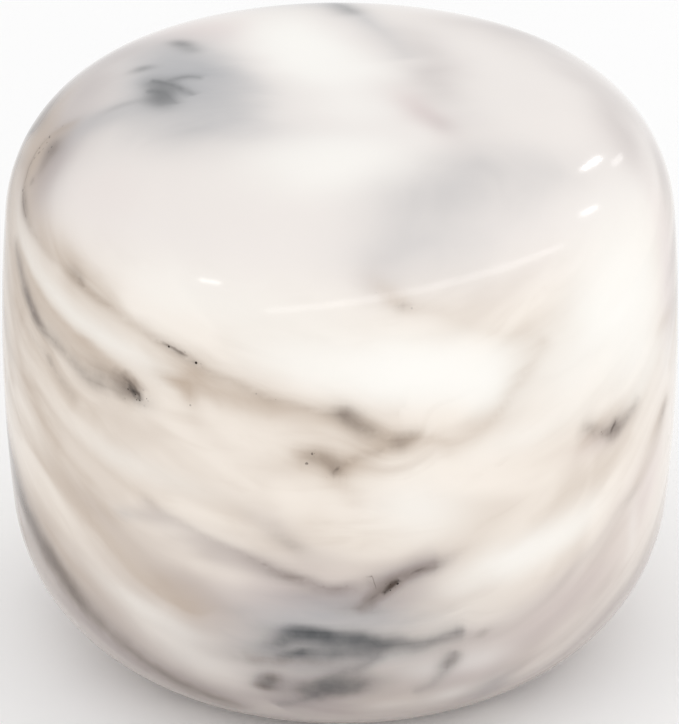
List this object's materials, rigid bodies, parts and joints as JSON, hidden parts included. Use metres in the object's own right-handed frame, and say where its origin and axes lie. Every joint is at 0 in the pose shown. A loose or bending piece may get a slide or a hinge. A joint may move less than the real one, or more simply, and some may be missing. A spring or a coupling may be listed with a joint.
{
  "type": "shaving bowl",
  "caption": "Polished veined stone shaving bowl: a drum with large round edges and a deep round hollow, standing mouth down on its rim with the flat base up.",
  "frame": {"origin": "centre of the mouth, on the plane of the rim's flat land, which the bowl stands on", "axes": "+Z along the bowl's axis of revolution, from the mouth to the closed base, which faces up; +X and +Y are any two directions across it"},
  "size_m": [0.096, 0.096, 0.084],
  "materials": {
    "stone": "polished"
  },
  "bodies": {
    "root": {"bowl": "stone"}
  },
  "joints": []
}
